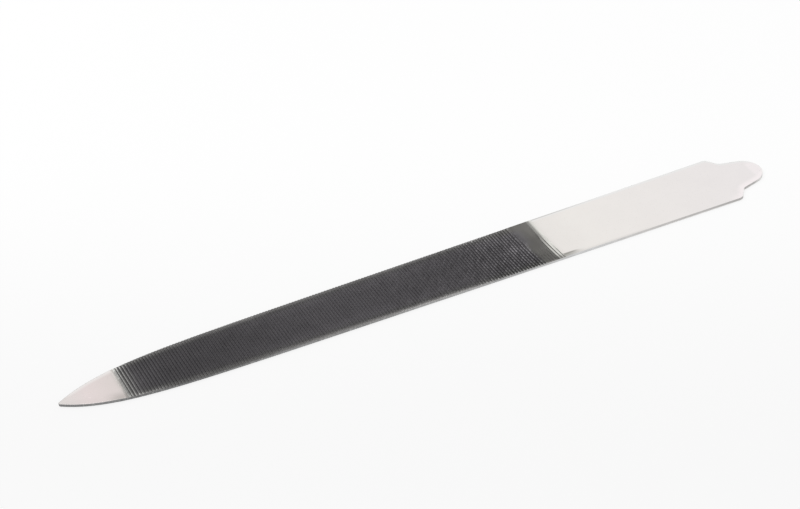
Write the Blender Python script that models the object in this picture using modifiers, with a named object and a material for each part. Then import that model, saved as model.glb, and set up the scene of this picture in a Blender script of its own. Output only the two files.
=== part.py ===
"""A flat steel nail file, 150 mm long, stamped from one strip.

It has a polished point, a middle that is cut with teeth on both faces, and a flat polished
handle that ends in two shoulders and a round tongue. +X runs from the point to the tongue,
+Z is up, and the file lies on z = 0 with its middle over the origin. Units are metres.
"""
import math

import bmesh
import bpy

# The blank
LENGTH = 0.150              # from the point to the end of the tongue
THICKNESS = 0.0006
HANDLE_WIDTH = 0.0145       # across the shoulders
POINT_WIDTH = 0.0111        # where the tapering sides would end without the point
POINT_RUN = 0.0083          # the larger, the slimmer the point
POINT_RADIUS = 0.0004       # of the very end
POINT_STEPS = 2
RIM_ROUND = 0.00012         # on both edges of the rim
RIM_SEGMENTS = 2
SIDE_STEPS = 28             # points along each side of the blade

# The shoulders and the tongue, which narrows a little and ends round
TONGUE_LENGTH = 0.0070      # from the foot of the shoulders to its end
TONGUE_WIDTH = 0.0095       # at the foot of the shoulders
TONGUE_END_WIDTH = 0.0060   # that its sides would reach at its end, if it weren't round
TONGUE_NOSE = 0.0029        # length of the round end
SHOULDER_RUN = 0.0019       # of the shoulders, along the file
SHOULDER_RADIUS = 0.0015
NECK_RADIUS = 0.0015
ARC_STEPS = 5
NOSE_STEPS = 14
SHOULDER_X = LENGTH - TONGUE_LENGTH - SHOULDER_RUN   # from the point
POINT_HALF_ANGLE = math.atan2(POINT_WIDTH / 2, POINT_RUN)

# The teeth: a coarse cut on the upper face and a fine cut below
CUT_START = 0.0121          # from the point to the first groove, along the middle
CUT_LEAN = math.radians(5.0)      # of the grooves, away from square across the file
COARSE_PITCH = 0.000606
COARSE_COUNT = 144
COARSE_DEPTH = 0.00015
FINE_PITCH = 0.00045
FINE_COUNT = 193
FINE_DEPTH = 0.0001
LAND_SHARE = 0.2            # part of the pitch that stays flat on top of a tooth
RAKE_ANGLE = math.radians(15.0)   # of a tooth's front, away from upright
CUTTER_MARGIN = 0.001       # how far a cutter reaches past the blank on each side

WELD_DISTANCE = 1e-6        # the caps and walls of a filled curve lie exactly together
SAME_PLANE = 0.9999         # cosine above which two faces count as one plane
RIM_ANGLE = math.radians(60.0)    # edges sharper than this are rounded
STEEL_COLOUR = (0.79, 0.78, 0.775, 1.0)
STEEL_ROUGHNESS = 0.22


def new_collection(name):
    """A collection under the scene."""
    collection = bpy.data.collections.new(name)
    bpy.context.scene.collection.children.link(collection)
    return collection


def steel_material():
    """Bright nickel-plated steel."""
    material = bpy.data.materials.new("bright_steel")
    material.use_nodes = True
    shader = material.node_tree.nodes["Principled BSDF"]
    shader.inputs["Base Color"].default_value = STEEL_COLOUR
    shader.inputs["Roughness"].default_value = STEEL_ROUGHNESS
    shader.inputs["Metallic"].default_value = 1.0
    return material


def merge_caps(mesh):
    """Weld a filled curve's loose caps, and make each flat cap one face."""
    bm = bmesh.new()
    bm.from_mesh(mesh)
    bmesh.ops.remove_doubles(bm, verts=bm.verts, dist=WELD_DISTANCE)
    bm.normal_update()
    inner = [edge for edge in bm.edges if len(edge.link_faces) == 2
             and edge.link_faces[0].normal.dot(edge.link_faces[1].normal) > SAME_PLANE
             and all(abs(face.normal.z) > SAME_PLANE for face in edge.link_faces)]
    bmesh.ops.dissolve_edges(bm, edges=inner, use_verts=False)
    bm.to_mesh(mesh)
    bm.free()


def flat_solid(name, outline, thickness, collection):
    """Raise a flat outline, given as (x, y) points, by half the thickness each way."""
    curve = bpy.data.curves.new(name + "_outline", "CURVE")
    curve.dimensions = "2D"
    curve.fill_mode = "BOTH"
    curve.extrude = thickness / 2
    spline = curve.splines.new("POLY")
    spline.points.add(len(outline) - 1)
    for point, (x, y) in zip(spline.points, outline):
        point.co = (x, y, 0.0, 1.0)
    spline.use_cyclic_u = True
    drawn = bpy.data.objects.new(name + "_outline", curve)
    collection.objects.link(drawn)
    bpy.context.view_layer.update()
    evaluated = drawn.evaluated_get(bpy.context.evaluated_depsgraph_get())
    mesh = bpy.data.meshes.new_from_object(evaluated)
    mesh.name = name
    merge_caps(mesh)
    solid = bpy.data.objects.new(name, mesh)
    solid.matrix_world = drawn.matrix_world
    collection.objects.link(solid)
    bpy.data.objects.remove(drawn)
    return solid


def half_width(x):
    """Half the blade's width at x from its end: a straight taper, closed to a sharp point.

    The sharp point lies just past the end, because the end is rounded off.
    """
    taper = POINT_WIDTH + (HANDLE_WIDTH - POINT_WIDTH) * x / SHOULDER_X
    past_end = POINT_RADIUS / math.sin(POINT_HALF_ANGLE) - POINT_RADIUS
    return taper / 2 * (1.0 - math.exp(-(x + past_end) / POINT_RUN))


def tongue_half_width(x):
    """Half the tongue's width at x from the point: two straight sides, closed to a round end."""
    share = (x - LENGTH + TONGUE_LENGTH) / TONGUE_LENGTH
    taper = TONGUE_WIDTH + (TONGUE_END_WIDTH - TONGUE_WIDTH) * share
    into_nose = max(0.0, x - LENGTH + TONGUE_NOSE) / TONGUE_NOSE
    return taper / 2 * math.sqrt(max(0.0, 1.0 - into_nose ** 2))


def rounded_corner(before, corner, after, radius):
    """Points of the arc that rounds a corner between two straight stretches."""
    to_before = math.atan2(before[1] - corner[1], before[0] - corner[0])
    to_after = math.atan2(after[1] - corner[1], after[0] - corner[0])
    turn = math.remainder(to_after - to_before, math.tau)
    setback = radius / abs(math.tan(turn / 2))
    middle = to_before + turn / 2
    reach = radius / abs(math.sin(turn / 2))
    centre = (corner[0] + reach * math.cos(middle), corner[1] + reach * math.sin(middle))
    start = (corner[0] + setback * math.cos(to_before), corner[1] + setback * math.sin(to_before))
    first = math.atan2(start[1] - centre[1], start[0] - centre[0])
    sweep = math.copysign(math.pi - abs(turn), -turn)
    angles = [first + sweep * step / ARC_STEPS for step in range(ARC_STEPS + 1)]
    return [(centre[0] + radius * math.cos(a), centre[1] + radius * math.sin(a)) for a in angles]


def upper_outline():
    """The +Y side of the blank from the point to the end of the tongue, x from the point."""
    shoulder = (SHOULDER_X, half_width(SHOULDER_X))
    neck = (LENGTH - TONGUE_LENGTH, TONGUE_WIDTH / 2)
    nose_start = (LENGTH - TONGUE_NOSE, tongue_half_width(LENGTH - TONGUE_NOSE))
    points = []
    for step in range(POINT_STEPS + 1):
        angle = math.pi - (math.pi / 2 - POINT_HALF_ANGLE) * step / POINT_STEPS
        points.append((POINT_RADIUS + POINT_RADIUS * math.cos(angle),
                       POINT_RADIUS * math.sin(angle)))
    side_end = SHOULDER_X - 2 * SHOULDER_RADIUS
    side = [side_end * (step / SIDE_STEPS) ** 2 for step in range(1, SIDE_STEPS + 1)]
    points += [(x, half_width(x)) for x in side if x > POINT_RADIUS]
    points += rounded_corner(points[-1], shoulder, neck, SHOULDER_RADIUS)
    points += rounded_corner(shoulder, neck, nose_start, NECK_RADIUS)
    for step in range(NOSE_STEPS + 1):
        x = nose_start[0] + TONGUE_NOSE * math.sin(math.pi / 2 * step / NOSE_STEPS)
        points.append((x, tongue_half_width(x)))
    return points


def file_outline():
    """The whole outline about the X axis, with the origin at mid length."""
    upper = upper_outline()
    lower = [(x, -y) for x, y in reversed(upper[1:-1])]
    return [(x - LENGTH / 2, y) for x, y in upper + lower]


def groove_cutter(name, pitch, count, depth, collection):
    """A row of long wedges, one for each groove, with the points of the wedges at z = -depth.

    Each wedge lies across the file and leans a little. Its steep wall cuts the front of the
    next tooth, which faces the point of the file, and its gentle wall cuts the back of the
    tooth before. The wedges stand a little above the face, still clear of each other.
    """
    mouth = pitch * (1 - LAND_SHARE)
    steep = depth * math.tan(RAKE_ANGLE)
    gentle = mouth - steep
    rise = depth * LAND_SHARE / 2
    spread = 1 + LAND_SHARE / 2
    section = [(0.0, -depth), (steep * spread, rise), (-gentle * spread, rise)]
    width = HANDLE_WIDTH + 2 * CUTTER_MARGIN
    cutter = flat_solid(name, section, width, collection)
    for vertex in cutter.data.vertices:
        along, height, across = vertex.co
        vertex.co = (along + gentle + across * math.tan(CUT_LEAN), -across, height)
    row = cutter.modifiers.new("row", "ARRAY")
    row.count = count
    row.use_relative_offset = False
    row.use_constant_offset = True
    row.constant_offset_displace = (pitch, 0.0, 0.0)
    cutter.hide_render = True
    cutter.display_type = "WIRE"
    return cutter


def cut(solid, cutter):
    """Cut a row of grooves out of the blank."""
    boolean = solid.modifiers.new(cutter.name, "BOOLEAN")
    boolean.operation = "DIFFERENCE"
    boolean.solver = "EXACT"
    boolean.object = cutter


def file_blank(parts, cutters):
    """The whole file: the stamped outline, its rounded rim, and the teeth on both faces."""
    blank = flat_solid("file_blank", file_outline(), THICKNESS, parts)
    blank.location.z = THICKNESS / 2
    blank.data.materials.clear()
    blank.data.materials.append(steel_material())

    rim = blank.modifiers.new("rounded_rim", "BEVEL")
    rim.width = RIM_ROUND
    rim.segments = RIM_SEGMENTS
    rim.limit_method = "ANGLE"
    rim.angle_limit = RIM_ANGLE

    first_groove = CUT_START - LENGTH / 2
    coarse = groove_cutter("coarse_cut", COARSE_PITCH, COARSE_COUNT, COARSE_DEPTH, cutters)
    coarse.location = (first_groove, 0.0, THICKNESS)
    cut(blank, coarse)

    fine = groove_cutter("fine_cut", FINE_PITCH, FINE_COUNT, FINE_DEPTH, cutters)
    fine.rotation_euler.x = math.pi
    fine.location = (first_groove, 0.0, 0.0)
    cut(blank, fine)
    return blank


for item in list(bpy.data.objects):
    bpy.data.objects.remove(item)

file_blank(new_collection("nail_file"), new_collection("cutters"))
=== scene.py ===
"""A flat steel nail file, lying on a white table.

The file is one strip of nickel-plated steel: stamped to its outline, its rim broken, teeth cut
into both faces of its middle, and both ends polished. Lengths are in metres. +X runs from the
point to the round end of the handle, and the file lies on z = 0.
"""
import math

import bmesh
import bpy
import numpy as np
from mathutils import Matrix, Vector


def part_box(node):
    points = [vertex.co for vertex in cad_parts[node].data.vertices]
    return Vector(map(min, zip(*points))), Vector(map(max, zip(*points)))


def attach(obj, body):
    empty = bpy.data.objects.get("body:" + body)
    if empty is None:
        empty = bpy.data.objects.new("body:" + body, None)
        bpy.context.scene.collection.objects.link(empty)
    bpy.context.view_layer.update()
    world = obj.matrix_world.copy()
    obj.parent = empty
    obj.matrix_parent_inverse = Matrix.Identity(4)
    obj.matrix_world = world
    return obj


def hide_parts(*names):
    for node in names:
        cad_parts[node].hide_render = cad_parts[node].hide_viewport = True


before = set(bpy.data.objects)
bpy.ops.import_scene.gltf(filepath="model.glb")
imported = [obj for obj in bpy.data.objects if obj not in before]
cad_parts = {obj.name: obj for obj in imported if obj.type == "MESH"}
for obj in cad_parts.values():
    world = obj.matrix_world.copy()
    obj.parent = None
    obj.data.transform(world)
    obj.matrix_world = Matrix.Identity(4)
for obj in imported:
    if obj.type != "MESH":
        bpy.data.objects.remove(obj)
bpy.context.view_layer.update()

# The blank
# One strip of spring steel, stamped out in a press: a point, two sides that widen slowly, two
# shoulders and a round tongue. Its rim is then broken on a wheel, wide along the handle, which
# is held, and only just along the teeth.
blank_low, blank_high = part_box("file_blank")
LENGTH = blank_high.x - blank_low.x
FACE = blank_high.z              # height of the upper face; the lower face is at zero
HANDLE_WIDTH = 0.0145            # across the shoulders, before their corners are rounded
POINT_WIDTH = 0.0111             # where the tapering sides would end without the point
POINT_RUN = 0.0083               # the larger, the slimmer the point
POINT_RADIUS = 0.0004
POINT_HALF_ANGLE = math.atan2(POINT_WIDTH / 2, POINT_RUN)
TONGUE_LENGTH = 0.0070           # from the foot of the shoulders to its end
TONGUE_WIDTH = 0.0095            # at the foot of the shoulders
TONGUE_END_WIDTH = 0.0060        # that its sides would reach at its end, if it weren't round
TONGUE_NOSE = 0.0029             # length of the round end
SHOULDER_RUN = 0.0019
SHOULDER_RADIUS = 0.0015
NECK_RADIUS = 0.0015
SHOULDER_X = LENGTH - TONGUE_LENGTH - SHOULDER_RUN   # from the point
CUT_START = 0.01115              # from the point to the first tooth, along the middle
CUT_END = 0.0999                 # where the polished handle begins

# Radius of the broken rim along the file: (from the point, radius)
RIM_RADII = ((0.0, 0.00010), (0.0095, 0.00010), (CUT_START, 0.00006), (CUT_END, 0.00006),
             (0.112, 0.00011), (0.130, 0.00016), (0.142, 0.00018))
# How far a row across the file leans, metres along for each metre across: (from the point, lean)
LEANS = ((0.004, 0.0), (CUT_START, 0.12), (0.020, 0.12), (0.060, 0.10), (0.094, 0.07),
         (CUT_END, 0.05), (CUT_END + 0.010, 0.0))
# How much the near half of a row bends toward the handle: (from the point, bend)
BENDS = ((0.080, 0.0), (CUT_END, 7.0), (CUT_END + 0.012, 0.0))
RIM_FINISH = 1                   # place of the rim's material among the mesh's materials
RIM_STEPS = 3
POINT_STEPS = 6
TIP_STEPS = 26
HANDLE_STEPS = 44
CORNER_STEPS = 7
NOSE_STEPS = 26


def half_width(x):
    """Half the blade's width at x from its end: a straight taper, closed to a point."""
    taper = POINT_WIDTH + (HANDLE_WIDTH - POINT_WIDTH) * x / SHOULDER_X
    past_end = POINT_RADIUS / math.sin(POINT_HALF_ANGLE) - POINT_RADIUS
    return taper / 2 * (1.0 - math.exp(-(x + past_end) / POINT_RUN))


def tongue_half_width(x):
    """Half the tongue's width at x from the point: two straight sides, closed to a round end."""
    share = (x - LENGTH + TONGUE_LENGTH) / TONGUE_LENGTH
    taper = TONGUE_WIDTH + (TONGUE_END_WIDTH - TONGUE_WIDTH) * share
    into_nose = max(0.0, x - LENGTH + TONGUE_NOSE) / TONGUE_NOSE
    return taper / 2 * math.sqrt(max(0.0, 1.0 - into_nose ** 2))


def rounded_corner(before, corner, after, radius):
    """Points of the arc that rounds a corner between two straight stretches."""
    to_before = math.atan2(before[1] - corner[1], before[0] - corner[0])
    to_after = math.atan2(after[1] - corner[1], after[0] - corner[0])
    turn = math.remainder(to_after - to_before, math.tau)
    setback = radius / abs(math.tan(turn / 2))
    reach = radius / abs(math.sin(turn / 2))
    centre = np.array(corner) + reach * np.array([math.cos(to_before + turn / 2),
                                                  math.sin(to_before + turn / 2)])
    start = np.array(corner) + setback * np.array([math.cos(to_before), math.sin(to_before)])
    first = math.atan2(*(start - centre)[::-1])
    sweep = math.copysign(math.pi - abs(turn), -turn)
    angles = first + sweep * np.linspace(0.0, 1.0, CORNER_STEPS)
    return [(centre[0] + radius * math.cos(a), centre[1] + radius * math.sin(a)) for a in angles]


def blank_side(pitch, teeth, knots):
    """The +Y side as (x, y) points, x from the point, with stations on the knots of each tooth."""
    point = [(POINT_RADIUS * (1 - math.cos(a)), POINT_RADIUS * math.sin(a))
             for a in np.linspace(0.0, math.pi / 2 - POINT_HALF_ANGLE, POINT_STEPS)]
    cut_end = CUT_START + teeth * pitch
    tip = np.linspace(point[-1][0], CUT_START, TIP_STEPS)[1:-1]
    cut = [CUT_START + (tooth + knot) * pitch for tooth in range(teeth) for knot in knots]
    handle = np.linspace(cut_end, SHOULDER_X - 2 * SHOULDER_RADIUS, HANDLE_STEPS)
    side = [(x, half_width(x)) for x in (*tip, *cut, *handle)]
    shoulder = (SHOULDER_X, half_width(SHOULDER_X))
    neck = (LENGTH - TONGUE_LENGTH, TONGUE_WIDTH / 2)
    nose_start = (LENGTH - TONGUE_NOSE, tongue_half_width(LENGTH - TONGUE_NOSE))
    corners = rounded_corner(side[-1], shoulder, neck, SHOULDER_RADIUS)
    corners += rounded_corner(shoulder, neck, nose_start, NECK_RADIUS)
    nose = [nose_start[0] + TONGUE_NOSE * math.sin(a)
            for a in np.linspace(0.0, math.pi / 2, NOSE_STEPS)]
    nose[-1] = LENGTH
    return np.array(point + side + corners + [(x, tongue_half_width(x)) for x in nose])


def outward_of(side):
    """Unit vectors out of the side; across the teeth they point straight out."""
    along = np.gradient(side, axis=0)
    along[0] = (0.0, 1.0)
    along[-1] = (0.0, -1.0)
    out = np.stack([-along[:, 1], along[:, 0]], axis=1)
    out /= np.linalg.norm(out, axis=1, keepdims=True)
    in_cut = (side[:, 0] > CUT_START) & (side[:, 0] < CUT_END)
    out[in_cut] = (0.0, 1.0)
    return out


def along_places(x, places):
    """A value that changes along the file, from (place, value) pairs."""
    return np.interp(x, *zip(*places))


def distance_to_side(side, x, y):
    """How far a point on the file lies from its outline."""
    if x < SHOULDER_X - SHOULDER_RADIUS:
        return half_width(x) - abs(y)
    return np.hypot(side[:, 0] - x, side[:, 1] - abs(y)).min()


def lay_face(bm, side, rows, upward):
    """One face of the strip and its rounded rim. Gives the rim's last points on both sides.

    The rows across the strip lean and bend as the teeth do. Each point keeps its station, which
    is where its row crosses the middle of the strip.
    """
    from_edge = bm.verts.layers.float["from_edge"]
    station = bm.verts.layers.float["station"]
    faces_end = bm.verts.layers.float["faces_end"]
    out = outward_of(side)
    rim = along_places(side[:, 0], RIM_RADII)
    lean = along_places(side[:, 0], LEANS) * (1.0 if upward else -1.0)
    bend = along_places(side[:, 0], BENDS) * (1.0 if upward else 0.0)
    last = len(side) - 1

    def point(i, across, drop):
        x, y = side[i] - out[i] * rim[i] * drop[0]
        if lean[i] or bend[i]:
            inset = side[i][1] - y
            x += bend[i] * (y * min(across, 0.0)) ** 2 - lean[i] * y * across
            y = half_width(x) - inset
        z = rim[i] * drop[1]
        vertex = bm.verts.new((x - LENGTH / 2, y * across, FACE - z if upward else z))
        vertex[from_edge] = distance_to_side(side, x, y * across)
        vertex[station] = side[i][0]
        vertex[faces_end] = out[i][0]
        return vertex

    lines = []
    for i in range(last + 1):
        if i in (0, last):
            lines.append([point(i, 0.0, (1.0, 0.0))] * (rows + 1))
        else:
            lines.append([point(i, 1.0 - 2.0 * row / rows, (1.0, 0.0)) for row in range(rows + 1)])
    for a, b in zip(lines, lines[1:]):
        for row in range(rows):
            bm.faces.new(dict.fromkeys((a[row], a[row + 1], b[row + 1], b[row])))

    loops = [[line[0] for line in lines], [line[-1] for line in lines]]
    for step in range(1, RIM_STEPS + 1):
        angle = math.pi / 2 * step / RIM_STEPS
        drop = (1 - math.sin(angle), 1 - math.cos(angle))
        ends = {0: point(0, 0.0, drop), last: point(last, 0.0, drop)}
        for number, across in enumerate((1.0, -1.0)):
            new = [ends[i] if i in ends else point(i, across, drop) for i in range(last + 1)]
            old = loops[number]
            for i in range(last):
                face = bm.faces.new((old[i], old[i + 1], new[i + 1], new[i]))
                face.material_index = RIM_FINISH
            loops[number] = new
    return loops


def close_wall(bm, above, below):
    """The upright wall between the rims of the two faces, whose points lie apart differently."""
    i = j = 0
    while i < len(above) - 1 or j < len(below) - 1:
        if j == len(below) - 1 or (i < len(above) - 1 and above[i + 1].co.x <= below[j + 1].co.x):
            face = bm.faces.new((above[i], above[i + 1], below[j]))
            i += 1
        else:
            face = bm.faces.new((above[i], below[j + 1], below[j]))
            j += 1
        face.material_index = RIM_FINISH


# The teeth
# Both faces of the middle are cut in rows that lean a little: coarse on top, fine below. Each
# tooth has a steep front that faces the point and a long back. A much lighter cut crosses the
# coarse rows at a slant. By the handle the rows run out into a ground band, and the last three
# are only scratched into the plate.
COARSE_PITCH = 0.000608
COARSE_TEETH = 146
COARSE_DEPTH = 0.00015
COARSE_ROWS = 76                 # faces across the file
FINE_PITCH = 0.00045
FINE_TEETH = 197
FINE_DEPTH = 0.0001
FINE_ROWS = 8
LAND_SHARE = 0.2                 # part of the pitch that stays flat on top of a tooth
LEAST_DEPTH = 0.88               # share of the depth that the shallowest tooth has
RAKE = math.radians(15.0)        # of a tooth's front, away from upright
CROSS_PITCH = 0.00063            # square to the slanted rows
CROSS_ANGLE = math.radians(45.0)
CROSS_DEPTH = 0.00003
CROSS_FROM = 9.0                 # teeth before the slanted rows begin
CROSS_RUN_IN = 8.0               # teeth over which they reach their full depth
CROSS_SHARPNESS = 1.5            # the larger, the wider the tops between the slanted rows
RUN_IN = 2.6                     # teeth over which the cut reaches its full depth
GROUND_TEETH = 7.4               # width of the ground band in the middle, in teeth
GROUND_SLANT = -130.0            # teeth that its edge leans, for each metre across
GROUND_WANDER = 1.5              # teeth that its edge strays by chance
GROUND_WANDER_SCALE = 900.0
GROUND_FADE = 2.6                # teeth over which the rows run out into it
GROUND_DEPTH = 0.00002
GROUND_LEFT = 0.45               # share of the depth that the rows keep in the band's near side
GROUND_LEFT_TEETH = (8.0, 5.5)   # where they keep it, in teeth before the end
LAST_TEETH = 3.0                 # teeth past the band; the very last one only at the near side
LAST_DEPTH = 0.6                 # their share of the full depth
VERY_LAST = (1.9, 2.0)           # where the very last one begins, in teeth past the band
VERY_LAST_DEPTH = (0.75, 0.0)    # its share of theirs, at the near side and at the far one
LAST_ACROSS = (0.003, -0.001, 0.5, 1.0)     # how their depth grows from the far side
NEAR_WAY = (0.0, -0.005)         # across the file, from the middle toward the near edge
NO_BAND = -9.0                   # a width that puts the ground band past the last tooth
BEFORE_CUT = 0.01                # teeth before the first that still count as cut
ROUNDING = 0.001                 # teeth that keep a point on a tooth's edge with that tooth
BELOW_FACE = 0.0002              # deeper than any cut, and short of the other face
FACING_OUT = 0.1                 # how far a face has to point out of the file to count as cut
SHARP_EDGE = math.radians(32.0)


class Output:
    """What a node puts out. Arithmetic on it adds Math nodes to its tree."""

    def __init__(self, socket):
        self.socket = socket
        self.tree = socket.id_data

    def __add__(self, other):
        return calc("ADD", self, other)

    def __radd__(self, other):
        return calc("ADD", other, self)

    def __sub__(self, other):
        return calc("SUBTRACT", self, other)

    def __rsub__(self, other):
        return calc("SUBTRACT", other, self)

    def __mul__(self, other):
        return calc("MULTIPLY", self, other)

    def __rmul__(self, other):
        return calc("MULTIPLY", other, self)

    def __truediv__(self, other):
        return calc("DIVIDE", self, other)

    def __rtruediv__(self, other):
        return calc("DIVIDE", other, self)

    def __gt__(self, other):
        return calc("GREATER_THAN", self, other)

    def __lt__(self, other):
        return calc("LESS_THAN", self, other)

    def __abs__(self):
        return calc("ABSOLUTE", self)


def tree_of(*values):
    """The node tree that the values come from."""
    return next(value.tree for value in values if isinstance(value, Output))


def feed(node, values):
    """Set a node's inputs, by name or number, to plain values or to what other nodes put out."""
    for place, value in values.items():
        if isinstance(value, Output):
            value.tree.links.new(value.socket, node.inputs[place])
        else:
            node.inputs[place].default_value = value


def new_node(tree, kind, values=None, take=0, **settings):
    """A new node with its inputs fed. Gives what it puts out under the name or number take."""
    node = tree.nodes.new(kind)
    for name, setting in settings.items():
        setattr(node, name, setting)
    feed(node, values or {})
    return Output(node.outputs[take])


def calc(operation, *values):
    """A Math node on numbers and outputs."""
    return new_node(tree_of(*values), "ShaderNodeMath", dict(enumerate(values)),
                    operation=operation)


def ramp(value, start, end, low=0.0, high=1.0):
    """A smooth step of a value from start to end."""
    return new_node(value.tree, "ShaderNodeMapRange",
                    {"Value": value, "From Min": start, "From Max": end, "To Min": low,
                     "To Max": high}, "Result", interpolation_type="SMOOTHSTEP")


def steps(value, first, *changes):
    """What starts at first and changes in smooth steps, each given as (from, to, next)."""
    for start, end, following in changes:
        first = ramp(value, start, end, first, following)
    return first


def apart(vector):
    """The x, y and z of a vector."""
    x = new_node(vector.tree, "ShaderNodeSeparateXYZ", {0: vector})
    return [Output(socket) for socket in x.socket.node.outputs]


def together(*values):
    """A vector of up to three values."""
    return new_node(tree_of(*values), "ShaderNodeCombineXYZ", dict(enumerate(values)))


def stored(tree, name):
    """A number that the mesh keeps at each of its points."""
    if tree.bl_idname == "GeometryNodeTree":
        return new_node(tree, "GeometryNodeInputNamedAttribute", {"Name": name}, "Attribute",
                        data_type="FLOAT")
    return new_node(tree, "ShaderNodeAttribute", take="Fac", attribute_name=name)


def new_group(name, kind, inputs, output):
    """A node group with named inputs and one output. Gives it with what its inputs bring in."""
    tree = bpy.data.node_groups.new(name, kind)
    for label, sort in inputs.items():
        tree.interface.new_socket(label, in_out="INPUT", socket_type="NodeSocket" + sort)
    label, sort = output
    tree.interface.new_socket(label, in_out="OUTPUT", socket_type="NodeSocket" + sort)
    given = tree.nodes.new("NodeGroupInput").outputs
    return tree, {socket.name: Output(socket) for socket in given}


def tooth_profile(along, tooth, given):
    """The profile of a row of teeth: down a tooth's back, and up the steep front of the next."""
    part = along - tooth
    mouth = 1.0 - given["Land"]
    steep = given["Depth"] / given["Pitch"] * calc("TANGENT", given["Rake"])
    back = part / (mouth - steep)
    front = (mouth - part) / steep
    return calc("MAXIMUM", calc("MINIMUM", back, front), 0.0)


def share_of_depth(along, y, tooth, ground, given):
    """The cut's share of its full depth: less at its start, in the band and past it.

    Gives it with the mask of the last teeth.
    """
    into_last = along + given["Last Teeth"] - given["Teeth"]
    in_last = into_last > 0.0
    before_end = given["Teeth"] - along
    left = ramp(y, *NEAR_WAY) * ramp(before_end, *GROUND_LEFT_TEETH) * given["Ground Left"]
    run_in = (tooth + 0.5) / given["Run In"]
    run_out = 1.0 - ground * (1.0 - left)
    share = calc("MINIMUM", calc("MINIMUM", run_in, 1.0), run_out) * (1.0 - in_last)
    near, far = [ramp(into_last, *VERY_LAST, 1.0, depth) for depth in VERY_LAST_DEPTH]
    faint = ramp(y, *reversed(NEAR_WAY), near, far) * ramp(y, *LAST_ACROSS)
    return share + in_last * (given["Last Depth"] * faint), in_last


def crossing_rows(along, x, y, ground, given):
    """How deep the slanted rows are that cross the first ones."""
    slant = y * calc("COSINE", given["Cross Angle"]) - x * calc("SINE", given["Cross Angle"])
    wave = calc("COSINE", math.tau * (slant / given["Cross Pitch"]))
    wave = calc("POWER", wave * 0.5 + 0.5, CROSS_SHARPNESS)
    begun = ramp(along - given["Cross From"], 0.0, CROSS_RUN_IN)
    return wave * given["Cross Depth"] * (begun * (1.0 - ground))


def cut_teeth_tree():
    """The cutting of one face: it lowers the face to the floor of every cut."""
    numbers = ("Face Height", "Upward", "Start", "Pitch", "Teeth", "Depth", "Land", "Rake",
               "Run In", "Ground Teeth", "Ground Slant", "Ground Fade", "Ground Depth",
               "Ground Left", "Last Teeth", "Last Depth", "Cross Pitch", "Cross Angle",
               "Cross Depth", "Cross From")
    tree, given = new_group("cut_teeth", "GeometryNodeTree",
                            {"Geometry": "Geometry", **dict.fromkeys(numbers, "Float"),
                             "Seed": "Int", "Material": "Material"}, ("Geometry", "Geometry"))
    tree.is_modifier = True
    x, y, z = apart(new_node(tree, "GeometryNodeInputPosition"))
    along = (stored(tree, "station") - given["Start"]) / given["Pitch"]
    tooth = calc("FLOOR", along + ROUNDING)

    # The ground band, whose edge wanders a little
    wander = new_node(tree, "ShaderNodeTexNoise", {"Scale": GROUND_WANDER_SCALE}, "Fac")
    edge = given["Teeth"] - given["Ground Teeth"] + y * given["Ground Slant"]
    edge = edge + wander * GROUND_WANDER
    ground = ramp(along, edge - given["Ground Fade"], edge)

    # How deep the face is cut here, which differs a little from tooth to tooth
    chance = new_node(tree, "FunctionNodeRandomValue",
                      {"Min": LEAST_DEPTH, "Max": 1.0, "ID": tooth, "Seed": given["Seed"]},
                      "Value", data_type="FLOAT")
    share, in_last = share_of_depth(along, y, tooth, ground, given)
    groove = tooth_profile(along, tooth, given) - (1.0 - share)
    groove = calc("MAXIMUM", groove, 0.0) * (given["Depth"] * chance)
    band = ground * (1.0 - in_last) * given["Ground Depth"]
    cross = crossing_rows(along, x, y, ground, given)
    inside = (along > -BEFORE_CUT) * (along < given["Teeth"])
    floor = calc("MAXIMUM", groove + band, cross) * inside
    above = (z - given["Face Height"]) * given["Upward"]
    above = calc("MINIMUM", above, floor * -1.0)
    cut = together(x, y, above * given["Upward"] + given["Face Height"])
    lowered = new_node(tree, "GeometryNodeSetPosition",
                       {"Geometry": given["Geometry"], "Position": cut})

    # The finish that the cut leaves: the band is marked, and the cut faces get their own steel
    on_this_face = above > -BELOW_FACE
    mark = calc("MAXIMUM", stored(tree, "ground"), ground * on_this_face)
    marked = new_node(tree, "GeometryNodeStoreNamedAttribute",
                      {"Geometry": lowered, "Name": "ground", "Value": mark},
                      data_type="FLOAT", domain="POINT")
    real = new_node(tree, "GeometryNodeRealizeInstances", {"Geometry": marked})
    faces_up = apart(new_node(tree, "GeometryNodeInputNormal"))[2]
    faces_out = faces_up * given["Upward"] > FACING_OUT
    finished = new_node(tree, "GeometryNodeSetMaterial",
                        {"Geometry": real, "Selection": inside * faces_out,
                         "Material": given["Material"]})
    feed(tree.nodes.new("NodeGroupOutput"), {"Geometry": finished})
    return tree


def cut_face(blank, tree, name, sizes):
    """Cut the teeth of one face into the blank."""
    modifier = blank.modifiers.new(name, "NODES")
    modifier.node_group = tree
    for label, value in sizes.items():
        modifier[tree.interface.items_tree[label].identifier] = value


def tooth_knots(pitch, depth):
    """Stations within one tooth: its two ends, the middle of its back, and both land edges."""
    mouth = 1.0 - LAND_SHARE
    bottom = mouth - depth / pitch * math.tan(RAKE)
    return (0.0, bottom / 2, bottom, mouth)


# The finish of the plate and the rim
# Nickel plate, polished to a mirror on the point and the handle, with the fine marks of handling,
# and painted dark reflections and highlights along the handle's edges. The rim is left as the
# wheel ground it, darker, with short upright marks and a painted dark reflection that deepens
# toward the point.
POLISHED_ROUGHNESS = 0.16
RIM_ROUGHNESS = 0.34
# Nickel's colour along the file, from the point to the end: (share of the length, colour)
PLATE_TINTS = ((0.000, (0.70, 0.67, 0.65)), (0.035, (0.74, 0.66, 0.65)),
               (0.072, (0.69, 0.63, 0.61)), (0.077, (0.56, 0.53, 0.51)),
               (0.665, (0.73, 0.70, 0.67)), (0.670, (0.80, 0.77, 0.74)),
               (0.720, (0.83, 0.80, 0.77)), (1.000, (0.81, 0.775, 0.775)))
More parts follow.
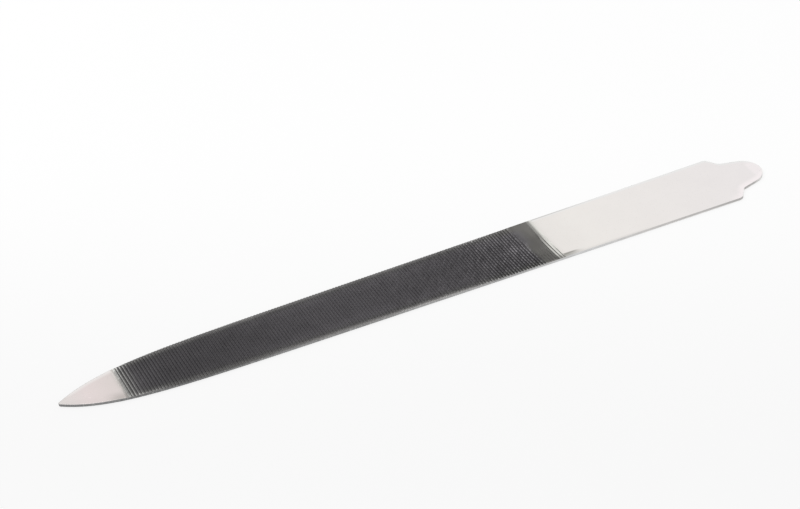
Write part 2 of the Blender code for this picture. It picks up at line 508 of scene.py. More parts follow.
# Brightness of the ground rim along the file: darker ground steel, with a painted dark reflection
# that deepens toward the point
RIM_TINTS = ((0.00, 0.20), (0.06, 0.24), (0.09, 0.18), (0.20, 0.18), (0.27, 0.26), (0.40, 0.26),
             (0.47, 0.37), (0.58, 0.39), (0.69, 0.64), (1.00, 0.56))

# Places where the plate changes, in metres: (from, to) alone is a mask that goes from 0 to 1, and
# (from, to, before, after) a value. ACROSS is from the middle, the far side positive, EDGE is the
# distance from the edge, ALONG is from the middle, and PAST is from the end of the cut.
POINT_DARK_ACROSS = (0.0002, -0.0012)
POINT_DARK_EDGE = (0.0026, 0.0003)
POINT_DARK_ALONG = (0.0075 - LENGTH / 2, CUT_START - LENGTH / 2, 0.1, 1.0)
POINT_DARK_PLATE = (0.500, 0.460, 0.440)
POINT_LIGHT_ACROSS = (0.0006, 0.0015)
POINT_LIGHT_EDGE = (0.0012, 0.0002)
POINT_LIGHT_PLATE = (0.800, 0.765, 0.750)
HANDLE_PAST = -0.002             # the handle's finish begins a little before the end of the cut
NEAR_ACROSS = (0.002, -0.002)
# A painted dark reflection along the handle's near edge just past the cut, with a dark line in it
RUN_OUT_REFLECTION_PAST = (0.0055, 0.0008, 0.0, 0.85)
RUN_OUT_REFLECTION_EDGE = (0.0012, 0.0006)
RUN_OUT_REFLECTION_PLATE = (0.286, 0.288, 0.264)
LINE_PAST = (0.0042, 0.0022, 0.0, 0.6)
LINE_EDGE = 0.0009               # how far in the dark line lies
LINE_WIDTH = (0.00032, 0.00006)
LINE_PLATE = (0.200, 0.185, 0.165)
NEAR_RIM_PAST = (0.022, 0.016, 0.0, 0.30)
NEAR_RIM_EDGE = (0.0007, 0.0003)
NEAR_RIM_PLATE = (0.62, 0.59, 0.57)
FAR_RIM_EDGE = (0.0009, 0.0003)
FAR_RIM_PLATE = (0.820, 0.817, 0.810)
# A thin painted dark reflection on the rounded far edge
FAR_LINE_PAST = (0.018, 0.002)
FAR_LINE_EDGE = (0.0005, 0.0002)
FAR_LINE_SHARE = 0.7
FAR_LINE_PLATE = (0.52, 0.50, 0.48)
# A painted highlight along the near edge of the round end, and on its tip
END_HIGHLIGHT_ALONG = (LENGTH / 2 - 0.0125, LENGTH / 2 - 0.008)
END_HIGHLIGHT_ACROSS = (-0.0005, -0.002)
END_HIGHLIGHT_EDGE = (0.0018, 0.0006)
END_HIGHLIGHT_PLATE = (0.905, 0.850, 0.855)
TIP_ALONG = (LENGTH / 2 - 0.0030, LENGTH / 2 - 0.0020, 0.0, 0.6)
TIP_ACROSS = (0.0030, 0.0015)
LINES_LEVEL = 0.75               # of the noise where a mark shows, if their share is 0
LINES_LOWERED = 0.5              # how far that level comes down as the share goes to 1
LINES_SOFTNESS = 0.12
HAIRS_TURN = (0.0, 0.0, 0.35)
ARCS_TURN = (0.0, 0.0, -0.9)
MARK_SHARE = 0.10                # how much the fine marks change the plate
MARK_PLATE = (0.55, 0.53, 0.52)
MARK_DEPTH = 0.000002

# The same for the rim
FOOT_HEIGHT = (0.00034, 0.00020)      # above the table
FOOT_SHADE = (0.0, 1.0, 0.76, 1.26)   # dark along its top, bright along its foot
FOOT_ALONG = (0.030, 0.068)
WARM_ALONG = (0.030, 0.045)
WARM_TINT = (1.01, 0.985, 0.965)
FAR_WALL = (-0.001, 0.001, 1.0, 1.3)
FACES_END = (0.45, 0.80)              # how far the wall turns toward the handle's end
END_ALONG = (0.0705, 0.0730, 0.0, 0.55)
END_WALL = (0.88, 0.86, 0.85)
UPRIGHT = (0.0, math.radians(78.0), 0.0)
WHEEL_MARK_SHARE = 0.35
WHEEL_MARK = (0.62, 0.61, 0.60)
WHEEL_MARK_DEPTH = 0.000004

# The colour sockets of a Mix node, by number
MIX_FACTOR, MIX_FIRST, MIX_SECOND, MIX_RESULT = 0, 6, 7, 2


def fine_lines_group():
    """A mask of fine straight marks along the X axis of the given vector."""
    tree, given = new_group("fine_lines", "ShaderNodeTree",
                            {"Vector": "Vector", "Across": "Float", "Along": "Float",
                             "Share": "Float"}, ("Mask", "Float"))
    stretch = together(given["Along"], given["Across"], given["Across"])
    scaled = new_node(tree, "ShaderNodeVectorMath", {0: given["Vector"], 1: stretch},
                      operation="MULTIPLY")
    noise = new_node(tree, "ShaderNodeTexNoise", {"Vector": scaled, "Scale": 1.0, "Detail": 1.0},
                     "Fac")
    level = LINES_LEVEL - given["Share"] * LINES_LOWERED
    mask = ramp(noise, level, level + LINES_SOFTNESS)
    feed(tree.nodes.new("NodeGroupOutput"), {"Mask": mask})
    return tree


def clouds_group():
    """A soft uneven factor about 1: tarnish, handling, uneven polish, and patchy painted shade."""
    tree, given = new_group("clouds", "ShaderNodeTree",
                            {"Vector": "Vector", "Size": "Float", "Amount": "Float"},
                            ("Factor", "Float"))
    noise = new_node(tree, "ShaderNodeTexNoise",
                     {"Vector": given["Vector"], "Scale": 1.0 / given["Size"], "Detail": 2.0},
                     "Fac")
    factor = (noise - 0.5) * given["Amount"] * 2.0 + 1.0
    feed(tree.nodes.new("NodeGroupOutput"), {"Factor": factor})
    return tree


FINE_LINES = fine_lines_group()
CLOUDS = clouds_group()


def place_group(group, vector, **values):
    """A node group in a material, with its own values."""
    return new_node(vector.tree, "ShaderNodeGroup", {"Vector": vector, **values},
                    node_tree=group)


def turned(vector, rotation):
    """The vector turned, so that marks can run at an angle."""
    return new_node(vector.tree, "ShaderNodeMapping", {"Vector": vector, "Rotation": rotation})


def mixed(factor, first, second, blend="MIX"):
    """Two colours mixed. Each is (r, g, b) or what a node puts out."""
    first, second = [(*colour, 1.0) if isinstance(colour, tuple) else colour
                     for colour in (first, second)]
    return new_node(tree_of(factor, first, second), "ShaderNodeMix",
                    {MIX_FACTOR: factor, MIX_FIRST: first, MIX_SECOND: second}, MIX_RESULT,
                    data_type="RGBA", blend_type=blend)


def shaded(colour, factor):
    """A colour made lighter or darker by a factor."""
    return mixed(1.0, colour, factor, "MULTIPLY")


def along_file(x, stops):
    """A colour that changes along the file, from (share of the length, colour) stops."""
    colour = new_node(x.tree, "ShaderNodeValToRGB", {"Fac": x / LENGTH}, "Color")
    elements = colour.socket.node.color_ramp.elements
    while len(elements) < len(stops):
        elements.new(1.0)
    for element, (place, shade) in zip(elements, stops):
        element.position = place
        element.color = (shade, shade, shade, 1.0) if isinstance(shade, float) else (*shade, 1.0)
    return colour


def steel_material(name, roughness):
    """A metal material. Gives it with its shader, the place on the file, and its x, y and z."""
    material = bpy.data.materials.new(name)
    material.use_nodes = True
    shader = material.node_tree.nodes["Principled BSDF"]
    feed(shader, {"Metallic": 1.0, "Roughness": roughness})
    place = new_node(material.node_tree, "ShaderNodeTexCoord", take="Object")
    return material, shader, place, *apart(place)


def raised(shader, height, distance):
    """Small relief from a height between 0 and 1, distance metres deep."""
    normal = new_node(height.tree, "ShaderNodeBump", {"Height": height, "Distance": distance},
                      "Normal")
    feed(shader, {"Normal": normal})


def point_plate(colour, x, y, from_edge):
    """The point's plate, darker toward its near edge and lighter toward its far side."""
    on_point = x < 0.0
    point_dark = ramp(y, *POINT_DARK_ACROSS) * ramp(from_edge, *POINT_DARK_EDGE) * ramp(x, *POINT_DARK_ALONG)
    colour = mixed(point_dark * on_point, colour, POINT_DARK_PLATE)
    clear = on_point * ramp(y, *POINT_LIGHT_ACROSS) * ramp(from_edge, *POINT_LIGHT_EDGE)
    return mixed(clear, colour, POINT_LIGHT_PLATE)


def handle_plate(colour, x, y, from_edge):
    """The handle: painted dark reflections where the ground sides run out, and at the far edge."""
    past_cut = x - (CUT_END - LENGTH / 2)
    on_handle = past_cut > HANDLE_PAST
    near = on_handle * ramp(y, *NEAR_ACROSS)
    far = on_handle - near
    # A painted dark reflection along the near edge just past the cut, with a darker line in it
    place_tone = ramp(past_cut, *RUN_OUT_REFLECTION_PAST) * ramp(from_edge, *RUN_OUT_REFLECTION_EDGE)
    colour = mixed(near * place_tone, colour, RUN_OUT_REFLECTION_PLATE)
    line = ramp(past_cut, *LINE_PAST) * ramp(abs(from_edge - LINE_EDGE), *LINE_WIDTH)
    colour = mixed(near * line, colour, LINE_PLATE)
    by_rim = near * ramp(from_edge, *NEAR_RIM_EDGE) * ramp(past_cut, *NEAR_RIM_PAST)
    colour = mixed(by_rim, colour, NEAR_RIM_PLATE)
    colour = mixed(far * ramp(from_edge, *FAR_RIM_EDGE), colour, FAR_RIM_PLATE)
    # A thin painted dark reflection on the rounded far edge
    far_reflection = far * ramp(past_cut, *FAR_LINE_PAST) * ramp(from_edge, *FAR_LINE_EDGE)
    colour = mixed(far_reflection * FAR_LINE_SHARE, colour, FAR_LINE_PLATE)

    # A painted highlight along the near edge of the round end and its shoulder, and on its tip
    end_highlight = ramp(from_edge, *END_HIGHLIGHT_EDGE) * ramp(y, *END_HIGHLIGHT_ACROSS)
    end_highlight = calc("MAXIMUM", end_highlight, ramp(x, *TIP_ALONG) * ramp(y, *TIP_ACROSS))
    return mixed(ramp(x, *END_HIGHLIGHT_ALONG) * end_highlight, colour, END_HIGHLIGHT_PLATE)


def polished_plate():
    """Mirror-polished nickel with the tints and fine marks of handling."""
    material, shader, place, x, y, _ = steel_material("polished_plate", POLISHED_ROUGHNESS)
    colour = along_file(stored(place.tree, "station"), PLATE_TINTS)
    cloud = place_group(CLOUDS, place, Size=0.006, Amount=0.02)
    fine_cloud = place_group(CLOUDS, place, Size=0.0012, Amount=0.012)
    colour = shaded(colour, cloud * fine_cloud)
    from_edge = stored(place.tree, "from_edge")
    colour = point_plate(colour, x, y, from_edge)
    colour = handle_plate(colour, x, y, from_edge)

    hairs = place_group(FINE_LINES, turned(place, HAIRS_TURN), Across=9000.0, Along=260.0,
                        Share=0.10)
    arcs = place_group(FINE_LINES, turned(place, ARCS_TURN), Across=7000.0, Along=300.0,
                       Share=0.06)
    marks = calc("MAXIMUM", hairs, arcs)
    feed(shader, {"Base Color": mixed(marks * MARK_SHARE, colour, MARK_PLATE),
                  "Roughness": marks * MARK_SHARE + POLISHED_ROUGHNESS})
    raised(shader, 1.0 - marks, MARK_DEPTH)
    return material


def ground_rim():
    """The strip's wall, as the wheel ground it, with a painted dark reflection toward the point.
    """
    material, shader, place, x, y, z = steel_material("ground_rim", RIM_ROUGHNESS)
    colour = along_file(x + LENGTH / 2, RIM_TINTS)

    # Under the handle the wall is brighter along its foot and darker along its top
    banded = ramp(ramp(z, *FOOT_HEIGHT), *FOOT_SHADE)
    colour = shaded(colour, ramp(x, *FOOT_ALONG, 1.0, banded))
    colour = mixed(ramp(x, *WARM_ALONG), colour, WARM_TINT, "MULTIPLY")
    colour = shaded(colour, ramp(y, *FAR_WALL))
    toward_end = ramp(stored(place.tree, "faces_end"), *FACES_END)
    toward_end = calc("MAXIMUM", toward_end, ramp(x, *END_ALONG))
    colour = mixed(toward_end, colour, END_WALL)
    colour = shaded(colour, place_group(CLOUDS, place, Size=0.0025, Amount=0.16))
    marks = place_group(FINE_LINES, turned(place, UPRIGHT), Across=6500.0, Along=700.0, Share=0.4)
    feed(shader, {"Base Color": mixed(marks * WHEEL_MARK_SHARE, colour, WHEEL_MARK)})
    raised(shader, marks, WHEEL_MARK_DEPTH)
    return material


# The finish of the cut
# The teeth were cut through the plate and show dark bare steel, with only their tops bright; the
# tops of the first and the last teeth carry painted highlights. Their tone changes along both
# edges, with a painted highlight on the near rim. Painted light and shade evens out the teeth's
# own shading: the groove bottoms are lightened against their shadow, and in the middle the tops
# are darkened and the tone rises and falls with each tooth. They are blued a little by the
# grinding, and bare and bright where the last three rows are scratched.
CUT_ROUGHNESS = 0.42
GROOVE_STEEL = (0.070, 0.066, 0.071)
CREST_STEEL = (0.080, 0.077, 0.080)
GROUND_STEEL = (0.124, 0.120, 0.113)
FIRST_PLATE = (0.590, 0.560, 0.535)
BARE_LINE = (0.74, 0.73, 0.69)

# Places where the steel changes. TEETH and TONE are along the cut, in teeth, ACROSS is in metres
# from the middle, the far side positive, and EDGE is the distance from the edge. (from, to) alone
# is a mask, (from, to, before, after) a value, and first value, then (from, to, next value) for
# each change, one that changes more than once.
CREST_DEPTH = (0.000065, 0.000004)    # below the face, where a tooth's top begins and is full
BEAD_CHANCE_TEETH = (70.0, 116.0, 0.25, 1.0)     # how much the beads differ by chance
BEAD_DIP_TEETH = (30.0, 112.0, -0.10, -0.28)     # how much the slanted rows darken the tops

# How the tone changes along the edges, the sides and the middle of the cut
EDGE_REACH_TEETH = (30.0, 60.0, 0.0014, 0.0010)  # how far in from the edges the tone changes
EDGE_FULLEST = 0.0002               # where it changes the most
EDGE_TONE_TEETH = (2.0, 12.0, 0.4, 1.0)
NEAR_HALF_ACROSS = (0.0, -0.003)
EDGE_TOPS_ACROSS = (-0.003, 0.003, 0.9, 2.0)
EDGE_GROOVES_ACROSS = (-0.003, 0.003, 0.7, 1.0)
NEAR_EDGE_TONE = (0.0, (35.0, 85.0, 0.3), (108.0, 128.0, -0.38))
FAR_EDGE_TONE = (0.0, (31.0, 75.0, -0.27))
# Painted highlights along the near rim, along the whole cut and at its first teeth
NEAR_RIM_HIGHLIGHT_EDGE = (0.00035, 0.0001)
NEAR_RIM_HIGHLIGHT_TONE = (0.0, (30.0, 60.0, 0.35), (80.0, 95.0, 1.0))
FIRST_RIM_HIGHLIGHT_EDGE = (0.0005, 0.0003)
FIRST_RIM_HIGHLIGHT_ACROSS = (-0.001, -0.003)
FIRST_RIM_HIGHLIGHT_TONE = (0.0, (2.5, 4.5, 0.9), (6.0, 15.0, 0.0))
NEAR_SIDE_ACROSS = (-0.002, -0.005)
NEAR_SIDE_TONE = (0.03, (20.0, 70.0, 0.16), (110.0, 128.0, -0.08))
FAR_SIDE_ACROSS = (0.0015, 0.005)
FAR_SIDE_TONE = (0.0, (20.0, 60.0, 0.18), (118.0, 127.0, 0.42), (135.5, 137.0, 0.0))
INNER_ACROSS = (0.0045, 0.0025)       # either way from the middle
INNER_TONE = (0.0, (8.0, 14.0, -0.06), (45.0, 65.0, 0.0))

# Painted light and shade that evens out the teeth's own shading in the middle of the cut, and how
# bright the tops and the grooves are. The brighter tops of the first and the last teeth, and the
# brighter tops and grooves just before the band, are painted highlights.
COUNTER_SHADING_TONE = (0.0, (14.0, 35.0, 0.15), (112.0, 122.0, 0.0))
COUNTER_SHADING_PLACE = 0.28                     # where in a tooth it lies, as a share of the pitch
FIRST_TOPS_TEETH = (6.5, 1.0)
FIRST_TOPS_ACROSS = (0.0, 0.002, 3.6, 4.3)
FIRST_NEAR_ACROSS = (-0.001, -0.004)
FIRST_NEAR_TEETH = (4.0, 1.0, 1.0, 0.80)
LATE_TOPS_TEETH = (110.0, 132.0, 1.0, 1.7)
FIRST_GROOVES_TEETH = (16.0, 0.0)
FIRST_GROOVES_ACROSS = (0.0, 0.002, 1.75, 1.5)
GROOVES_TONE = (0.78, (20.0, 70.0, 1.12), (100.0, 118.0, 1.0))
LATE_GROOVES_ACROSS = (0.0035, 0.0005)
LATE_GROOVES_TEETH = (125.0, 134.0)
LATE_GROOVES_GAIN = 0.4
# Painted light and shade against the teeth's own shading: the groove bottoms are lightened, and
# more so in the middle, where the tops are darkened
LEVELLING_TONE = (1.0, (8.0, 18.0, 0.82), (115.0, 132.0, 1.0))
BOTTOM_LIGHTENING = 3.65                   # of a groove's bottom, less BOTTOM_LIGHTENING_LOSS times the tone above
BOTTOM_LIGHTENING_LOSS = 2.4
SLOPE_SHADE = 0.9                     # of a groove where it meets the tooth's top
GLINT_TEETH = (130.0, 134.0)          # the last tops before the band shine
GLINT_PLACE = -0.0008                 # across the file
GLINT_WIDTH = (0.0028, 0.0008)
GLINT_GAIN = 0.35
WARM_EDGE = (0.0022, 0.0003)          # the steel is warmer at the edges and at the first teeth
WARM_TEETH = (7.0, 2.0)
WARM_STEEL = (0.970, 1.0, 0.925)

# The ground band
BAND_ACROSS = (0.0, 0.006, 0.95, 1.20)
BAND_FIRST_TEETH = (138.0, 139.6)
BAND_FIRST_ACROSS = (0.0, 0.005, 0.70, 0.85)
BAND_LATE_TEETH = (141.0, 143.0, 1.0, 1.12)
BLUED_TEETH = (142.0, 138.0)
BLUED_PLACE = 0.0025                  # across the file
BLUED_WIDTH = (0.0035, 0.0015)
BLUED_STEEL = (1.01, 1.0, 1.12)
SMEARED_ACROSS = (0.002, 0.0055)
SMEARED_TEETH = (124.0, 134.0, 0.0, 0.65)

# The plate before the first tooth
FIRST_TEETH = (1.0, 0.5)
FIRST_SHADE_TEETH = (0.0, 1.0, 0.80, 0.66)
FIRST_SHADE_ACROSS = (0.66, (-0.0045, -0.001, 1.0), (-0.0005, 0.003, 1.17))

# The bright plate between the last three rows. TEETH, DARK and BRIGHT are in teeth past the band.
NEAR_LINES_ACROSS = (0.001, -0.004, 0.50, 0.74)
NEAR_LINES_DARK = (0.4, 0.7, 0.20)    # from, to, and how bright the first of them is
NEAR_LINES_BRIGHT = (1.4, 1.7, 0.90)  # from, to, and how bright the last of them is
NEAR_LINES_EDGE = (0.0003, 0.0015, 0.55, 1.0)
FAR_LINES_TEETH = (1.55, 2.7, 0.38, 0.98)
FAR_LINES_ACROSS = (-0.001, 0.002)
LINES_BEGIN_ACROSS = (-0.002, 0.002, 0.0, 1.1)
LINES_BEGIN = (-0.02, 0.08)
CHATTER_TURN = (0.0, 0.0, math.pi / 2)
CHATTER_DEPTH = 0.000003


def bead_tone(x, y, along):
    """How bright each bead is that the slanted rows leave on a tooth, about 1."""
    slant = y * math.cos(CROSS_ANGLE) - x * math.sin(CROSS_ANGLE)
    row = slant / CROSS_PITCH
    cell = together(calc("FLOOR", along), calc("FLOOR", row))
    chance = new_node(x.tree, "ShaderNodeTexWhiteNoise", {"Vector": cell}, "Value",
                      noise_dimensions="3D")
    dip = calc("COSINE", row * math.tau) * ramp(along, *BEAD_DIP_TEETH)
    return (chance - 0.5) * ramp(along, *BEAD_CHANCE_TEETH) + dip + 1.0


def near_rim_highlight(y, along, from_edge):
    """A painted highlight along the very edge of the near side, where the rim catches the light.
    """
    rim_highlight = ramp(from_edge, *NEAR_RIM_HIGHLIGHT_EDGE) * steps(along, *NEAR_RIM_HIGHLIGHT_TONE)
    return rim_highlight * ramp(y, *NEAR_HALF_ACROSS)


def position_tones(y, along, from_edge):
    """Tone by place of the whole cut, its tops and its grooves, as factors about 1."""
    reach = ramp(along, *EDGE_REACH_TEETH)
    edge = ramp(from_edge, reach, EDGE_FULLEST) * ramp(along, *EDGE_TONE_TEETH)
    near_edge = edge * ramp(y, *NEAR_HALF_ACROSS)
    far_edge = edge - near_edge
    place_tone = near_edge * steps(along, *NEAR_EDGE_TONE) + 1.0
    place_tone = place_tone + far_edge * steps(along, *FAR_EDGE_TONE)
    # Painted highlights along the near rim, along the whole cut and at its first teeth
    place_tone = place_tone + near_rim_highlight(y, along, from_edge)
    first_rim_highlight = ramp(from_edge, *FIRST_RIM_HIGHLIGHT_EDGE) * steps(along, *FIRST_RIM_HIGHLIGHT_TONE)
    place_tone = place_tone + first_rim_highlight * ramp(y, *FIRST_RIM_HIGHLIGHT_ACROSS)
    place_tone = place_tone + ramp(y, *NEAR_SIDE_ACROSS) * steps(along, *NEAR_SIDE_TONE)
    place_tone = place_tone + ramp(y, *FAR_SIDE_ACROSS) * steps(along, *FAR_SIDE_TONE)
    place_tone = place_tone + ramp(abs(y), *INNER_ACROSS) * steps(along, *INNER_TONE)
    tops = edge * ramp(y, *EDGE_TOPS_ACROSS) + 1.0
    grooves = edge * ramp(y, *EDGE_GROOVES_ACROSS) + 1.0
    return place_tone, tops, grooves


def counter_shading(place, along):
    """Painted light and shade in the middle of the cut, as a factor about 1.

    It rises and falls with each tooth, against the teeth's own shading.
    """
    counter_shade = calc("COSINE", along * math.tau + COUNTER_SHADING_PLACE * math.tau) * steps(along, *COUNTER_SHADING_TONE)
    return counter_shade * place_group(CLOUDS, place, Size=0.004, Amount=0.9) + 1.0


def toothed_steel(place, y, along, down, crest, from_edge, bead):
    """Colour of the teeth: dark grooves, and bright tops, partly painted highlights."""
    place_tone, tops, grooves = position_tones(y, along, from_edge)
    # Painted light and shade against the teeth's own shading in the middle of the cut
    place_tone = place_tone * counter_shading(place, along)
    # Painted highlights on the tops of the first teeth and of the last teeth before the band
    tops = tops * ramp(along, *FIRST_TOPS_TEETH, 1.0, ramp(y, *FIRST_TOPS_ACROSS))
    tops = tops * ramp(y, *FIRST_NEAR_ACROSS, 1.0, ramp(along, *FIRST_NEAR_TEETH))
    tops = tops * ramp(along, *LATE_TOPS_TEETH) * place_tone
    grooves = grooves * ramp(along, *FIRST_GROOVES_TEETH, 1.0, ramp(y, *FIRST_GROOVES_ACROSS))
    # Painted highlight: the grooves in the middle just before the band are lightened
    late = ramp(abs(y), *LATE_GROOVES_ACROSS) * ramp(along, *LATE_GROOVES_TEETH)
    grooves = grooves * steps(along, *GROOVES_TONE) * (late * LATE_GROOVES_GAIN + 1.0) * place_tone
    # Painted light in the groove bottoms and painted shade on the tops, against the teeth's
    # shading
    levelling = steps(along, *LEVELLING_TONE)
    bottom = BOTTOM_LIGHTENING - levelling * BOTTOM_LIGHTENING_LOSS
    groove = shaded(GROOVE_STEEL, ramp(down, COARSE_DEPTH, 0.0, bottom, SLOPE_SHADE) * grooves)
    tops = tops * (levelling * place_group(CLOUDS, place, Size=0.006, Amount=0.2))
    glint = ramp(along, *GLINT_TEETH) * ramp(abs(y - GLINT_PLACE), *GLINT_WIDTH)
    tops = tops * (glint * GLINT_GAIN + 1.0)
    colour = mixed(crest, groove, shaded(CREST_STEEL, bead * tops))
    warm = calc("MAXIMUM", ramp(from_edge, *WARM_EDGE), ramp(along, *WARM_TEETH))
    return mixed(warm, colour, WARM_STEEL, "MULTIPLY")


def ground_steel(y, along, from_edge):
    """The colour of the ground band, lightly blued toward the teeth."""
    # The painted highlight along the near rim lightens the band too
    shade = near_rim_highlight(y, along, from_edge) + ramp(y, *BAND_ACROSS)
    shade = shade * ramp(along, *BAND_FIRST_TEETH, ramp(y, *BAND_FIRST_ACROSS),
                         ramp(along, *BAND_LATE_TEETH))
    blued = ramp(along, *BLUED_TEETH) * ramp(abs(y - BLUED_PLACE), *BLUED_WIDTH)
    return mixed(blued, shaded(GROUND_STEEL, shade), BLUED_STEEL, "MULTIPLY")


def bare_lines(colour, y, along, crest, from_edge):
    """The bright plate between the three scratched lines at the end of the cut."""
    past_band = along - (COARSE_TEETH - LAST_TEETH)
    start, end, dark = NEAR_LINES_DARK
    near = ramp(past_band, start, end, dark, ramp(y, *NEAR_LINES_ACROSS))
    start, end, light = NEAR_LINES_BRIGHT
    near = ramp(past_band, start, end, near, light) * ramp(from_edge, *NEAR_LINES_EDGE)
    far = ramp(past_band, *FAR_LINES_TEETH)
    bare = shaded(BARE_LINE, ramp(y, *FAR_LINES_ACROSS, near, far))
    clear = calc("MAXIMUM", crest, ramp(y, *FAR_LINES_ACROSS))
    begun = ramp(past_band - ramp(y, *LINES_BEGIN_ACROSS), *LINES_BEGIN)
    return mixed(begun * clear, colour, bare)


def cut_steel():
    """Bare steel in the grooves, with the tops of the teeth bright."""
    material, shader, place, x, y, z = steel_material("cut_steel", CUT_ROUGHNESS)
    down = FACE / 2 - abs(z - FACE / 2)
    crest = ramp(down, *CREST_DEPTH)
    along = (stored(place.tree, "station") - CUT_START) / COARSE_PITCH
    from_edge = stored(place.tree, "from_edge")
    colour = toothed_steel(place, y, along, down, crest, from_edge, bead_tone(x, y, along))

    smeared = ramp(y, *SMEARED_ACROSS) * ramp(along, *SMEARED_TEETH)
    ground = calc("MAXIMUM", stored(place.tree, "ground"), smeared)
    colour = mixed(ground, colour, ground_steel(y, along, from_edge))
    first_shade = ramp(along, *FIRST_SHADE_TEETH) * steps(y, *FIRST_SHADE_ACROSS)
    colour = mixed(crest * ramp(along, *FIRST_TEETH), colour, shaded(FIRST_PLATE, first_shade))
    colour = bare_lines(colour, y, along, crest, from_edge)
    colour = shaded(colour, place_group(CLOUDS, place, Size=0.0035, Amount=0.16))
    feed(shader, {"Base Color": colour})
    chatter = place_group(FINE_LINES, turned(place, CHATTER_TURN), Across=30000.0, Along=2500.0,
                          Share=0.5)
    raised(shader, chatter, CHATTER_DEPTH)
    return material


POLISHED_PLATE = polished_plate()
GROUND_RIM = ground_rim()
CUT_STEEL = cut_steel()

# The file itself
# One strip of spring steel, with nothing fixed to it and nothing that moves. The blank is laid
# out with its broken rim, both faces are cut, and the finished body stands for the plain one.
COARSE_SEED = 3
FINE_SEED = 8

blank_mesh = bmesh.new()
for kept in ("from_edge", "station", "faces_end"):
    blank_mesh.verts.layers.float.new(kept)
coarse_side = blank_side(COARSE_PITCH, COARSE_TEETH,
                         (*tooth_knots(COARSE_PITCH, COARSE_DEPTH), 1.0 - LAND_SHARE / 2))
fine_side = blank_side(FINE_PITCH, FINE_TEETH, tooth_knots(FINE_PITCH, FINE_DEPTH))
upper_rims = lay_face(blank_mesh, coarse_side, COARSE_ROWS, True)
lower_rims = lay_face(blank_mesh, fine_side, FINE_ROWS, False)
for above, below in zip(upper_rims, lower_rims):
    close_wall(blank_mesh, above, below)
bmesh.ops.recalc_face_normals(blank_mesh, faces=blank_mesh.faces)
steel_mesh = bpy.data.meshes.new("file_strip")
blank_mesh.to_mesh(steel_mesh)
blank_mesh.free()
steel_mesh.materials.append(POLISHED_PLATE)
steel_mesh.materials.append(GROUND_RIM)
stamped = bpy.data.objects.new("stamped_strip", steel_mesh)
bpy.context.scene.collection.objects.link(stamped)

teeth_tree = cut_teeth_tree()
shared = {"Start": CUT_START, "Land": LAND_SHARE, "Rake": RAKE,
          "Run In": RUN_IN, "Cross Pitch": CROSS_PITCH, "Cross Angle": CROSS_ANGLE,
          "Material": CUT_STEEL}
cut_face(stamped, teeth_tree, "coarse_cut", {
    **shared, "Face Height": FACE, "Upward": 1.0, "Pitch": COARSE_PITCH,
    "Teeth": float(COARSE_TEETH), "Depth": COARSE_DEPTH, "Ground Teeth": GROUND_TEETH,
    "Ground Slant": GROUND_SLANT, "Ground Fade": GROUND_FADE, "Ground Depth": GROUND_DEPTH,
    "Ground Left": GROUND_LEFT, "Last Teeth": LAST_TEETH, "Last Depth": LAST_DEPTH,
    "Cross Depth": CROSS_DEPTH, "Cross From": CROSS_FROM, "Seed": COARSE_SEED})
cut_face(stamped, teeth_tree, "fine_cut", {
    **shared, "Face Height": 0.0, "Upward": -1.0, "Pitch": FINE_PITCH,
    "Teeth": float(FINE_TEETH), "Depth": FINE_DEPTH, "Ground Teeth": NO_BAND, "Ground Slant": 0.0,
    "Ground Fade": 1.0, "Ground Depth": 0.0, "Ground Left": 0.0, "Last Teeth": 0.0,
    "Last Depth": 0.0, "Cross Depth": 0.0, "Cross From": 0.0, "Seed": FINE_SEED})
evaluated = stamped.evaluated_get(bpy.context.evaluated_depsgraph_get())
finished_mesh = bpy.data.meshes.new_from_object(evaluated)
bpy.data.objects.remove(stamped)
finished_mesh.shade_smooth()
finished_mesh.set_sharp_from_angle(angle=SHARP_EDGE)
file_strip = bpy.data.objects.new("file_strip", finished_mesh)
bpy.context.scene.collection.objects.link(file_strip)
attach(file_strip, "root")
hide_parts("file_blank")

# The table
# A sheet of white board, lit evenly, which shows almost pure white and fades a little towards
# the viewer. It keeps the faint shadow under the file.
TABLE_SIZE = 3.0
TABLE_GAP = 0.00002              # below the file, so that the two faces don't share a plane
TABLE_WHITE = 0.22               # how much of its brightness comes from the lamps
TABLE_GLOW = 0.81                # and how much it has for the camera and for reflections
TABLE_FADE_WAY = (0.45, 0.90)    # direction in which it gets whiter
TABLE_FADE = (-0.05, 0.05, 0.942, 1.0)


def seen_directly(tree):
    """1 for the camera, and for what shows in metal or through glass; 0 for light on things."""
    camera = new_node(tree, "ShaderNodeLightPath", take="Is Camera Ray")
    ways = camera.socket.node.outputs
    seen = calc("MAXIMUM", camera, Output(ways["Is Glossy Ray"]))
    return calc("MAXIMUM", seen, Output(ways["Is Transmission Ray"]))


def table_material():
    """White board: part lit by the lamps, part plain white to the eye and to reflections."""
    material = bpy.data.materials.new("white_board")
    material.use_nodes = True
    tree = material.node_tree
    tree.nodes.remove(tree.nodes["Principled BSDF"])
    x, y, _ = apart(new_node(tree, "ShaderNodeTexCoord", take="Object"))
    away = x * TABLE_FADE_WAY[0] + y * TABLE_FADE_WAY[1]
    shade = ramp(away, *TABLE_FADE)
    board = new_node(tree, "ShaderNodeBsdfDiffuse",
                     {"Color": (TABLE_WHITE, TABLE_WHITE, TABLE_WHITE, 1.0)})
    glow = new_node(tree, "ShaderNodeEmission", {"Strength": shade * TABLE_GLOW})
    dark = new_node(tree, "ShaderNodeEmission", {"Strength": 0.0})
    when_seen = new_node(tree, "ShaderNodeMixShader", {0: seen_directly(tree), 1: dark, 2: glow})
    both = new_node(tree, "ShaderNodeAddShader", {0: board, 1: when_seen})
    feed(tree.nodes["Material Output"], {"Surface": both})
    return material


table_mesh = bpy.data.meshes.new("table")
half = TABLE_SIZE / 2
table_mesh.from_pydata([(-half, -half, 0.0), (half, -half, 0.0), (half, half, 0.0),
                        (-half, half, 0.0)], [], [(0, 1, 2, 3)])
table_mesh.materials.append(table_material())
table = bpy.data.objects.new("table", table_mesh)
table.location.z = -TABLE_GAP
bpy.context.scene.collection.objects.link(table)

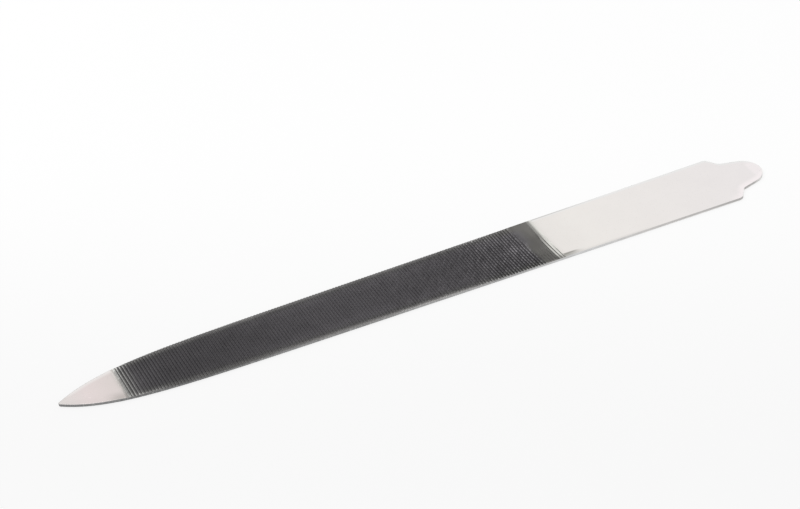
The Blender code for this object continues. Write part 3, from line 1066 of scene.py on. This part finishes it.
# The light
# A white room all round, and one large soft lamp from the upper left, behind the file.
ROOM_LIGHT = 0.62                # what the room adds to dull surfaces
LAMP_POWER = 2.8
LAMP_SIZE = 0.95
LAMP_PLACE = Vector((-0.45, 0.35, 0.75))

world = bpy.data.worlds.new("white_room")
bpy.context.scene.world = world
world.use_nodes = True
room = world.node_tree
feed(room.nodes["Background"],
     {"Color": (1.0, 1.0, 1.0, 1.0),
      "Strength": ramp(seen_directly(room), 0.0, 1.0, ROOM_LIGHT, 1.0)})

lamp_data = bpy.data.lights.new("soft_lamp", "AREA")
lamp_data.shape = "DISK"
lamp_data.size = LAMP_SIZE
lamp_data.energy = LAMP_POWER
lamp = bpy.data.objects.new("soft_lamp", lamp_data)
lamp.location = LAMP_PLACE
lamp.rotation_mode = "QUATERNION"
lamp.rotation_quaternion = (-LAMP_PLACE).to_track_quat("-Z", "Y")
bpy.context.scene.collection.objects.link(lamp)

# The camera
# It looks down on the file from before its middle, a little towards the point.
CAMERA_PLACE = Vector((-0.07733, -0.19450, 0.18332))
CAMERA_FORWARD = Vector((0.26125, 0.71865, -0.64443)).normalized()
CAMERA_ROLL_RIGHT = Vector((0.91613, -0.39489, -0.06897))
CAMERA_LENS = 63.93              # millimetres, on a sensor as wide as the next
CAMERA_SENSOR = 36.0
NEAREST_SEEN = 0.01

right = (CAMERA_ROLL_RIGHT - CAMERA_FORWARD * CAMERA_ROLL_RIGHT.dot(CAMERA_FORWARD)).normalized()
up = right.cross(CAMERA_FORWARD)
camera_data = bpy.data.cameras.new("camera")
camera_data.lens = CAMERA_LENS
camera_data.sensor_width = CAMERA_SENSOR
camera_data.clip_start = NEAREST_SEEN
camera_data.dof.use_dof = False
camera = bpy.data.objects.new("camera", camera_data)
turn = Matrix((right, up, -CAMERA_FORWARD)).transposed()
camera.matrix_world = Matrix.Translation(CAMERA_PLACE) @ turn.to_4x4()
bpy.context.scene.collection.objects.link(camera)
bpy.context.scene.camera = camera
bpy.context.scene.view_settings.view_transform = "Standard"
